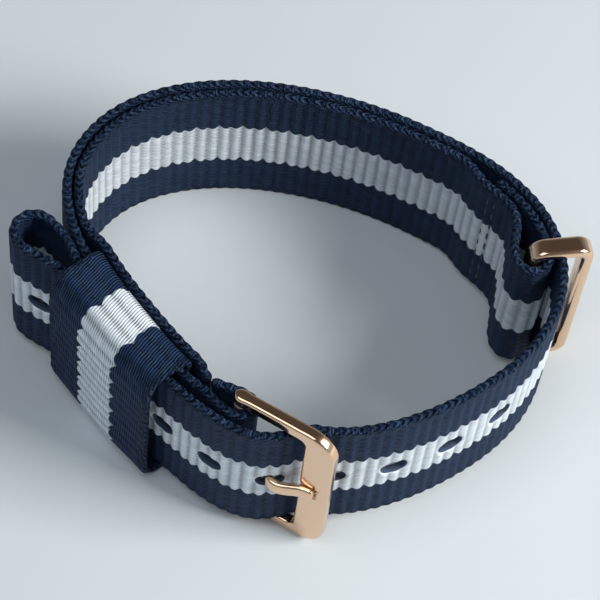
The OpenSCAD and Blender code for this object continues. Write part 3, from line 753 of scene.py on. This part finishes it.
def threadMaterial(name, colour):
    material, tree, shader = newMaterial(name, Sheen_Weight=0.3, Sheen_Roughness=0.35)
    where = tree.nodes.new("ShaderNodeTexCoord").outputs["Object"]
    turns = addNode(tree, "ShaderNodeTexWave", {
        "Vector": where, "Scale": 1500.0, "Distortion": 1.5, "Detail": 1.0},
        bands_direction="DIAGONAL").outputs["Fac"]
    bump = addNode(tree, "ShaderNodeBump", {"Strength": 0.6, "Distance": 0.00004, "Height": turns})
    rough = addNode(tree, "ShaderNodeMapRange", {0: turns, 3: 0.6, 4: 0.42})
    # painted shade in the grooves between the thread's turns
    tone = TreeSteps(tree).blend(turns, darker(colour, 0.6), colour)
    feed(shader, {"Base Color": tone, "Roughness": rough.outputs[0], "Normal": bump.outputs[0]})
    return material

weaveGroup = makeWeaveGroup()
polishGroup = makePolishGroup()
roseGold = metalMaterial("polishedRoseGold", polishGroup, finishes["roseGold"], 0.13, 0.10, 0.00001)
steel = metalMaterial("turnedSteel", polishGroup, finishes["steel"], 0.32, 0.15, 0.00002)
navyThread = threadMaterial("navyThread", finishes["thread"])
print("materials ready")

# The webbing pieces

bandTree = makeBandTree()

def ribbonGuide(name, line):
    run = runOf(line)
    rows = [[(x - centre[0], y - centre[1], z), (x - centre[0], y - centre[1], z + webbing["width"])]
            for x, y, z in line]
    return guideMesh(name, rows, run / run[-1]), run[-1]

def weaveBand(name, node, lay, cloth, more):
    guide, length = lay
    ribs = round(length / cloth["ribPitch"])
    values = {
        "Length": float(length), "Width": cloth["width"], "Thickness": cloth["thickness"],
        "Rib Pitch": float(length) / ribs, "Rib Depth": webbing["ribDepth"],
        "Knob Depth": webbing["knobDepth"], "Edge Round": webbing["edgeRound"],
        "Points Along": ribs * webbing["ribSteps"] + 1, "Points Across": webbing["acrossSteps"] + 1,
        "First Hole": 0.0, "Hole Pitch": holes["pitch"], "Hole Length": holes["length"],
        "Hole Height": holes["height"], "Holes Before": 0.0, "Holes After": 0.0,
        "Closed": False, "Pierced": False,
        "Material": webbingMaterial(name + "Weave", weaveGroup, cloth["width"], cloth["scallop"])}
    piece = bakedObject(name, guide, bandTree, {**values, **more})
    standFor(piece, node, "strap")

def keeperSection(a, count=96):
    # The middle of the keeper's wall round the strap, from the seam behind, over the top and back underneath
    half = keeper["thickness"] / 2
    back = riseAt(a) + keeperBack + half
    front = keeperFront - half + 0.75 * keeper["slack"] * ease(-2 * a / keeper["width"])
    low, high = half, 1.5 * keeper["thickness"] + 2 * keeper["play"] + webbing["width"]
    far, near = keeper["frontRound"] + half, keeper["backRound"] + half
    drop = keeper["drop"] + half
    middle = (low + high) / 2
    corners = [(back - near, high - near, near, near, 0), (front + far, high - drop, far, drop, 90),
               (front + far, low + far, far, far, 180), (back - near, low + near, near, near, 270)]
    outline = [(back, middle)]
    for corner in corners:
        outline += quarter(*corner, 13)
    outline.append((back, middle))
    outline = np.array(outline)
    run = runOf(outline)
    places = np.linspace(0, run[-1], count + 1)
    return np.stack([np.interp(places, run, outline[:, k]) for k in (0, 1)], 1), run[-1]

def keeperGuide():
    acrossCount = 18
    sections = []
    lengths = []
    for k in range(acrossCount + 1):
        a = keeper["width"] * (k / acrossCount - 0.5)
        outline, length = keeperSection(a)
        sections.append([(*(keeperPoint(a, b) - centre), z) for b, z in outline])
        lengths.append(length)
    rows = list(zip(*sections))
    spans = np.linspace(0, 1, len(rows))
    return guideMesh("keeperLay", rows, spans), float(np.mean(lengths))

weaveBand("longWebbing", "long_strap", ribbonGuide("longLay", longLine), webbing, {
    "First Hole": float(firstHole), "Holes Before": float(holes["before"]),
    "Holes After": float(holes["after"]), "Pierced": True})
weaveBand("shortWebbing", "short_strap", ribbonGuide("shortLay", shortLine), webbing, {
    "Points Across": webbing["shortAcrossSteps"] + 1})
weaveBand("keeperWebbing", "fabric_keeper", keeperGuide(), keeper, {"Closed": True})

# The polished hardware

def sweptMesh(name, rings, closedPath=False):
    # Joins rings of points into a skin; an open skin is closed at both ends
    mesh = bmesh.new()
    rows = [[mesh.verts.new(p) for p in points] for points in rings]
    count = len(rows[0])
    pairs = list(zip(rows, rows[1:])) + ([(rows[-1], rows[0])] if closedPath else [])
    for a, b in pairs:
        for k in range(count):
            mesh.faces.new((a[k], a[(k + 1) % count], b[(k + 1) % count], b[k]))
    if not closedPath:
        mesh.faces.new(rows[0][::-1])
        mesh.faces.new(rows[-1])
    bmesh.ops.recalc_face_normals(mesh, faces=mesh.faces)
    data = bpy.data.meshes.new(name)
    mesh.to_mesh(data)
    mesh.free()
    for face in data.polygons:
        face.use_smooth = True
    return data

def roundedSection(x0, x1, y0, y1, radius, perCorner=5):
    # Corner points of a rounded rectangle, as (x, y)
    radius = min(radius, 0.49 * abs(x1 - x0), 0.49 * abs(y1 - y0))
    corners = ((x1 - radius, y1 - radius, 0), (x0 + radius, y1 - radius, 90),
               (x0 + radius, y0 + radius, 180), (x1 - radius, y0 + radius, 270))
    return [point for x, y, start in corners for point in quarter(x, y, radius, radius, start, perCorner)]

def atBar(x, y, z):
    # From the buckle's own directions to the model's
    return (*(barCentre + x * frameX + y * frameY - centre), z)

def finishMetal(obj, node, body, material, tight=True):
    obj.data.materials.append(material)
    if tight:
        edges = obj.modifiers.new("keepSmooth", "WEIGHTED_NORMAL")
        edges.keep_sharp = False
        edges.weight = 60
    standFor(obj, node, body)

def frameRings():
    # Stations from the top arm's end, round the front bar, to the bottom arm's end: outer and inner edge,
    # then half the thickness and the depth of the tongue's rest
    halfHigh = webbing["width"] / 2 + buckle["play"] + buckle["armHeight"]
    endX = buckle["length"] + buckle["frontWidth"] / 2
    windowX = buckle["length"] - buckle["frontWidth"] / 2
    outer = buckle["cornerRadius"] + buckle["armHeight"] / 2
    inner = buckle["windowCorner"]
    windowZ = halfHigh - buckle["armHeight"]
    half = buckle["thickness"] / 2
    knuckle = half + 0.0001
    stations = []
    for t in (8, 25, 42, 58, 74, 90):
        x = -knuckle * math.cos(math.radians(t))
        deep = knuckle * math.sin(math.radians(t))
        stations.append(((x, halfHigh), (x, windowZ), deep, 0.0))
    for share in np.linspace(0.03, 0.97, 12):
        deep = mix(knuckle, half, ease(share * 7))
        stations.append(((share * (endX - outer), halfHigh), (share * (windowX - inner), windowZ), deep, 0.0))
    for c, s in quarter(0, 0, 1, 1, 0, 13)[::-1]:
        stations.append(((endX - outer + outer * c, halfHigh - outer + outer * s),
                         (windowX - inner + inner * c, windowZ - inner + inner * s), half, 0.0))
    notch = tongue["width"] / 2 + tongue["room"]
    outerZ, innerZ = halfHigh - outer, windowZ - inner
    for share in (0.8, 0.6, 0.4, 0.25):
        stations.append(((endX, outerZ * share), (windowX, innerZ * share), half, 0.0))
    full = buckle["notchDepth"]
    for z, depth in ((notch + 0.0001, 0.0), (notch, 0.00002), (notch - 0.00003, full - 0.00003),
                     (notch - 0.0001, full)):
        stations.append(((endX, z), (windowX, z), half, depth))
    lower = [((o[0], -o[1]), (i[0], -i[1]), deep, cut) for o, i, deep, cut in stations[::-1]]
    return stations + lower

def makeFrame():
    middle = buckle["bottom"] + webbing["width"] / 2 + buckle["play"] + buckle["armHeight"]
    rings = []
    restEnd = (tongue["pastFront"] + tongue["room"] + buckle["frontWidth"] / 2) / buckle["frontWidth"]
    for (ox, oz), (ix, iz), deep, cut in frameRings():
        wide = math.hypot(ox - ix, oz - iz)
        soft = mix(buckle["armRound"], buckle["edgeRound"], ease((wide / buckle["armHeight"] - 1) / 0.8))
        whole = roundedSection(0, wide, -deep, deep, soft)
        rest = roundedSection(0, wide, cut - deep, deep, soft)
        step = [(restEnd * wide - 0.00004, cut - deep), (restEnd * wide, -deep)]
        section = whole[:10] + rest[10:15] + step + whole[15:]
        rings.append([atBar(mix(ix, ox, w / wide), y, middle + mix(iz, oz, w / wide)) for w, y in section])
    obj = newObject("buckleFrameMetal", sweptMesh("buckleFrameMetal", rings))
    finishMetal(obj, "buckle_frame", "frame", roseGold)

def makeTongue():
    heading = np.gradient(tongueLine, axis=0)
    heading /= np.linalg.norm(heading, axis=1)[:, None]
    thick, wide = tongue["thickness"] / 2, tongue["width"] / 2
    steps = [(p, d, 0.0) for p, d in zip(tongueLine[:-1], heading)]
    steps += [(tongueLine[-1], (1.0, 0.0), math.radians(t)) for t in (0, 20, 38, 54, 68, 80)]
    rings = []
    for p, d, turn in steps:
        p = np.asarray(p) + thick * math.sin(turn) * np.asarray(d)
        half, deep = thick * math.cos(turn), wide - thick * (1 - math.cos(turn))
        section = [(half * math.copysign(abs(math.cos(t)) ** 0.75, math.cos(t)),
                    deep * math.copysign(abs(math.sin(t)) ** 0.6, math.sin(t)))
                   for t in np.linspace(0, 2 * math.pi, 24, endpoint=False)]
        rings.append([atBar(*(p + np.array([d[1], -d[0]]) * a), midHeight + b) for a, b in section])
    stem = sweptMesh("tongueStem", rings)
    eye = hingeBar["tubeRadius"] + hairGap
    turns = []
    for t in np.linspace(0, 2 * math.pi, 40, endpoint=False):
        section = roundedSection(eye, eye + 2 * thick, -wide, wide, 0.00025, 4)
        turns.append([atBar(r * math.cos(t), r * math.sin(t), midHeight + z) for r, z in section])
    loopMesh = sweptMesh("tongueEye", turns, closedPath=True)
    whole = bmesh.new()
    whole.from_mesh(stem)
    whole.from_mesh(loopMesh)
    for face in whole.faces:
        face.smooth = True
    data = bpy.data.meshes.new("buckleTongueMetal")
    whole.to_mesh(data)
    whole.free()
    obj = newObject("buckleTongueMetal", data)
    finishMetal(obj, "buckle_tongue", "tongue", roseGold, tight=False)

def makeRing():
    bar = ring["barSize"]
    bend = bar / 2 + ring["corner"]
    high = webbing["width"] + 2 * ring["play"] + bar
    bottom = lifts["ring"] - ring["play"] - bar / 2
    outwards = -inwardAt(ring["at"])
    sideways = alongAt(ring["at"])
    corners = ((ring["reach"] - bend, high - bend, 0), (bend, high - bend, 90),
               (bend, bend, 180), (ring["reach"] - bend, bend, 270))
    rings = []
    for cx, cz, start in corners:
        for c, s in quarter(0, 0, 1, 1, start, 9):
            section = roundedSection(bend - bar / 2, bend + bar / 2, -ring["depth"] / 2, ring["depth"] / 2,
                                     ring["edgeRound"], 7)
            points = []
            for r, d in section:
                flat = ringCentre - centre + outwards * (cx + r * c) + sideways * d
                points.append((*flat, bottom + cz + r * s))
            rings.append(points)
    obj = newObject("underRingMetal", sweptMesh("underRingMetal", rings, closedPath=True))
    finishMetal(obj, "metal_ring", "ring", roseGold, tight=False)

makeFrame()
makeTongue()
makeRing()
for node in ("hinge_bar_tube", "hinge_bar_spring", "hinge_bar_tip_upper", "hinge_bar_tip_lower"):
    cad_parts[node].data.materials.clear()
    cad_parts[node].data.materials.append(steel)
print("hardware made")

# The sewing
stitches = {
    "radius": 0.00013,
    "length": 0.0015,
    "pitch": 0.0022,
    "inset": 0.0008,         # from the webbing's cut end to the first row
    "gap": 0.0011,           # from the first row to the second
    "keeperRows": 0.006,     # between the two rows on the keeper
    "sunk": 0.6,             # share of the thread's radius that lies in the webbing
    "ringSunk": 1.6,         # the ring fold's rows lie deeper, in the layer's hollows
    "arch": 0.00022,         # how deep a stitch's two ends dip
    "margin": 0.003,         # left free at the two ends of a row, both together
}

def makeStitchTree():
    # Each short edge of the guide becomes one stitch, which dips into the webbing at both ends
    tree, do, given = newTree("threadStitches", "GeometryNodeTree", {
        "Geometry": ["Seams"], "Float": ["Radius", "Arch"], "Material": ["Material"]},
        {"Geometry": ["Stitches"]})
    curve = do.onMesh("ResampleCurve", do.onMesh("MeshToCurve", given["Seams"]), {"Count": 9})
    part = Field(tree.nodes.new("GeometryNodeSplineParameter").outputs["Factor"])
    rise = (do.power(do.sine(part * math.pi), 0.5) - 1.0) * given["Arch"]
    upwards = addNode(tree, "GeometryNodeInputNamedAttribute", {"Name": "upwards"},
                      data_type="FLOAT_VECTOR").outputs[0]
    curve = do.onMesh("SetPosition", curve, {"Offset": do.onVectors("SCALE", upwards, rise)})
    profile = addNode(tree, "GeometryNodeCurvePrimitiveCircle", {"Resolution": 8, "Radius": given["Radius"]})
    tube = do.onMesh("CurveToMesh", curve, {"Profile Curve": profile.outputs[0], "Fill Caps": True})
    return do.finish(tube, given["Material"])

stitchTree = makeStitchTree()

def sew(name, node, seams):
    # seams: one (start, end, upwards) for each stitch
    mesh = bpy.data.meshes.new(name + "Seams")
    points = [tuple(p) for start, end, _ in seams for p in (start, end)]
    mesh.from_pydata(points, [(2 * i, 2 * i + 1) for i in range(len(seams))], [])
    up = mesh.attributes.new("upwards", "FLOAT_VECTOR", "POINT")
    for i, (_, _, direction) in enumerate(seams):
        for k in (0, 1):
            up.data[2 * i + k].vector = direction
    obj = bakedObject(name, mesh, stitchTree, {
        "Radius": stitches["radius"], "Arch": stitches["arch"], "Material": navyThread})
    standFor(obj, node, "strap")

def stitchPlaces(length):
    # Middles of the stitches in a row, from the row's own middle
    count = int((length - stitches["margin"]) / stitches["pitch"])
    return [(k - count / 2) * stitches["pitch"] for k in range(count + 1)]

proud = halfThick + stitches["radius"] * (1 - stitches["sunk"])
halfStitch = stitches["length"] / 2

def stitchColumn(s, offset):
    # A row of stitches up the webbing's width, on the layer's wrist side
    p = placeAt(s, offset + proud) - centre
    heights = [liftAt(s) + webbing["width"] / 2 + up for up in stitchPlaces(webbing["width"])]
    return [((*p, z - halfStitch), (*p, z + halfStitch), (*inwardAt(s), 0.0)) for z in heights]

def keeperSeam():
    middle = keeper["thickness"] + keeper["play"] + webbing["width"] / 2
    seams = []
    for a in stitchPlaces(keeper["width"]):
        for row in (-1, 1):
            z = middle + row * stitches["keeperRows"] / 2
            ends = [(*(keeperPoint(end, riseAt(end) + behindKeeper + proud) - centre), z)
                    for end in (a - halfStitch, a + halfStitch)]
            seams.append((*ends, (*keeperInward, 0.0)))
    return seams

barFoldSeams, ringFoldSeams = [], []
for away in (stitches["inset"], stitches["inset"] + stitches["gap"]):
    s = hingeBar["at"] + hingeBar["foldLength"] - away
    barFoldSeams += stitchColumn(s, barWrapOffset(s, 1))
    ringFoldSeams += stitchColumn(seamAt + away, 2 * layer - stitches["ringSunk"] * stitches["radius"])
sew("barFoldThread", "fold_stitches", barFoldSeams)
sew("junctionThread", "junction_stitches",
    stitchColumn(shortStart + stitches["inset"], shortOffset(shortStart + stitches["inset"])))
sew("ringFoldThread", "ring_fold_stitches", ringFoldSeams)
sew("keeperThread", "keeper_stitches", keeperSeam())

# The studio

studio = {
    "floorSize": 1.2,
    "floorColour": (0.65, 0.705, 0.735, 1),
    "horizonColour": (0.40, 0.45, 0.51, 1),
    "zenithColour": (0.075, 0.068, 0.062, 1),
    "aim": (0, 0, 0.01),     # what both lamps point at
}

lamps = {
    "keyLamp": {"place": (0.385, -0.065, 0.30), "size": 0.20, "power": 2.8, "colour": (1.0, 0.98, 0.95)},
    "fillLamp": {"place": (-0.10, -0.12, 0.45), "size": 0.3, "power": 0.7, "colour": (0.85, 0.92, 1.0)},
}

view = {
    "down": 60,              # degrees below level
    "roll": 8,
    "away": 0.3018,
    "focalPixels": 2580,     # on an image of 600 pixels
    "imagePixels": 600,
    "sensor": 36.0,
}

def makeFloor():
    half = studio["floorSize"] / 2
    mesh = bpy.data.meshes.new("floor")
    corners = [(-half, -half, 0), (half, -half, 0), (half, half, 0), (-half, half, 0)]
    mesh.from_pydata(corners, [], [(0, 1, 2, 3)])
    floor = newObject("floor", mesh)
    material, tree, shader = newMaterial("palePaper", Roughness=0.75, Specular_IOR_Level=0.2)
    where = tree.nodes.new("ShaderNodeTexCoord").outputs["Object"]
    do = TreeSteps(tree)
    colour = studio["floorColour"]
    feed(shader, {"Base Color": do.blend(do.noise(where, 6.0, 2.0), darker(colour, 0.97), colour)})
    mesh.materials.append(material)

def makeLamp(name, place, size, power, colour):
    data = bpy.data.lights.new(name, "AREA")
    data.shape = "RECTANGLE"
    data.size = data.size_y = size
    data.energy = power
    data.color = colour
    lamp = newObject(name, data)
    lamp.location = place
    lamp.rotation_mode = "QUATERNION"
    lamp.rotation_quaternion = (Vector(studio["aim"]) - Vector(place)).to_track_quat("-Z", "Y")

def makeWorld():
    world = bpy.data.worlds.new("room")
    world.use_nodes = True
    tree = world.node_tree
    do = TreeSteps(tree)
    height = do.parts(tree.nodes.new("ShaderNodeTexCoord").outputs["Generated"])[2]
    share = do.multiplyAdd(height, 1.5, -0.1, clamp=True)
    sky = do.blend(share, studio["horizonColour"], studio["zenithColour"])
    feed(tree.nodes["Background"], {"Color": sky})
    bpy.context.scene.world = world

def makeCamera():
    # The photograph's viewpoint
    down, roll = math.radians(view["down"]), math.radians(view["roll"])
    target = Vector((-centre[0], -centre[1], 0))
    forward = Vector((0, math.cos(down), -math.sin(down)))
    level = Vector((1, 0, 0))
    upright = level.cross(forward)
    right = math.cos(roll) * level + math.sin(roll) * upright
    up = -math.sin(roll) * level + math.cos(roll) * upright
    data = bpy.data.cameras.new("camera")
    data.sensor_width = view["sensor"]
    data.lens = view["sensor"] * view["focalPixels"] / view["imagePixels"]
    data.clip_start, data.clip_end = 0.01, 5.0
    camera = newObject("camera", data)
    turn = Matrix((right, up, -forward)).transposed()
    camera.matrix_world = Matrix.Translation(target - forward * view["away"]) @ turn.to_4x4()
    bpy.context.scene.camera = camera

makeFloor()
for name, lamp in lamps.items():
    makeLamp(name, **lamp)
makeWorld()
makeCamera()
bpy.context.scene.view_settings.view_transform = "Standard"
print("studio ready")
